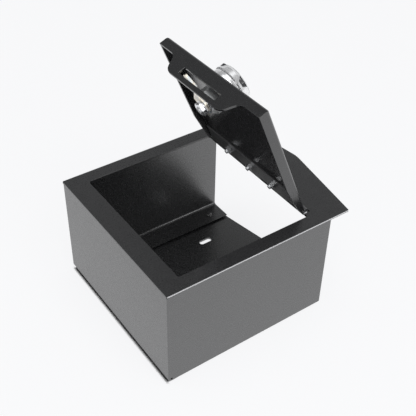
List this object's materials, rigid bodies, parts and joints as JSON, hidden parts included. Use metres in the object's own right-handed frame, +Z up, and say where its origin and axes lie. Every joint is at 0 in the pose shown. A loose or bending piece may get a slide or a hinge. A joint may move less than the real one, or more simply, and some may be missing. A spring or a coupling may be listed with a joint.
{
  "type": "console safe",
  "caption": "Open-backed black sheet-steel lock box with an overhanging top plate, a hinged flush lid and a round combination knob that turns a locking cam.",
  "frame": {"origin": "centre of the bounding box's underside, on the plane that the floor's underside rests on", "axes": "+Z up, -Y towards the front wall and the lid's lock edge, +Y towards the open back, X across along the hinge"},
  "size_m": [0.207, 0.2392, 0.269],
  "materials": {
    "box_coat": "black textured powder coat",
    "plate_coat": "black textured powder coat",
    "lid_coat": "black textured powder coat",
    "hinge_coat": "black satin coat",
    "zinc_hardware": "bright zinc plated",
    "lock_steel": "plain nickel plated",
    "cam_zinc": "yellowish zinc plated",
    "knob_chrome": "polished chrome",
    "wheel_black": "black with pale numbers"
  },
  "bodies": {
    "box": {"top_plate": "plate_coat", "front_floor_sheet": "box_coat", "left_side_wall": "box_coat", "right_side_wall": "box_coat", "floor_rivet_1": "box_coat", "floor_rivet_2": "box_coat", "floor_rivet_3": "box_coat", "floor_rivet_4": "box_coat", "strike_angle": "box_coat", "hinge_frame_leaf": "hinge_coat", "hinge_pin": "zinc_hardware", "frame_hinge_stud_1": "zinc_hardware", "frame_hinge_stud_2": "zinc_hardware", "frame_hinge_stud_3": "zinc_hardware", "frame_hinge_nut_1": "zinc_hardware", "frame_hinge_nut_2": "zinc_hardware", "frame_hinge_nut_3": "zinc_hardware"},
    "lid": {"lid_pan": "lid_coat", "hinge_lid_leaf": "hinge_coat", "lid_hinge_stud_1": "zinc_hardware", "lid_hinge_stud_2": "zinc_hardware", "lid_hinge_stud_3": "zinc_hardware", "lid_hinge_nut_1": "zinc_hardware", "lid_hinge_nut_2": "zinc_hardware", "lid_hinge_nut_3": "zinc_hardware", "lock_body": "knob_chrome", "lock_washer": "zinc_hardware", "lock_nut": "lock_steel"},
    "knob": {"knob_cap": "knob_chrome", "knob_base": "lock_steel", "stop_washer": "zinc_hardware", "cam_lever": "cam_zinc", "cam_washer": "zinc_hardware", "cam_nut": "zinc_hardware", "wheel_axle_1": "lock_steel", "wheel_axle_2": "lock_steel", "wheel_axle_3": "lock_steel", "wheel_axle_4": "lock_steel"},
    "wheel_1": {"number_wheel_1": "wheel_black"},
    "wheel_2": {"number_wheel_2": "wheel_black"},
    "wheel_3": {"number_wheel_3": "wheel_black"},
    "wheel_4": {"number_wheel_4": "wheel_black"}
  },
  "joints": [
    {"name": "lid_hinge", "type": "hinge", "parent": "box", "child": "lid", "pos_m": [0, 0.06454, 0.1242], "axis": [-1, 0, 0], "range_deg": [-67.4, 102.6]},
    {"name": "lock_turn", "type": "hinge", "parent": "lid", "child": "knob", "pos_m": [0, 0.02229, 0.24747], "axis": [0, -0.9232, -0.3843], "range_deg": [-50, 40]},
    {"name": "wheel_turn_1", "type": "hinge", "parent": "knob", "child": "wheel_1", "pos_m": [0.01226, 0.02426, 0.25627], "axis": [0, 0.9232, 0.3843], "continuous": true},
    {"name": "wheel_turn_2", "type": "hinge", "parent": "knob", "child": "wheel_2", "pos_m": [0.00737, 0.0318, 0.23815], "axis": [0, 0.9232, 0.3843], "continuous": true},
    {"name": "wheel_turn_3", "type": "hinge", "parent": "knob", "child": "wheel_3", "pos_m": [-0.01226, 0.02992, 0.24267], "axis": [0, 0.9232, 0.3843], "continuous": true},
    {"name": "wheel_turn_4", "type": "hinge", "parent": "knob", "child": "wheel_4", "pos_m": [-0.00737, 0.02238, 0.26078], "axis": [0, 0.9232, 0.3843], "continuous": true}
  ]
}
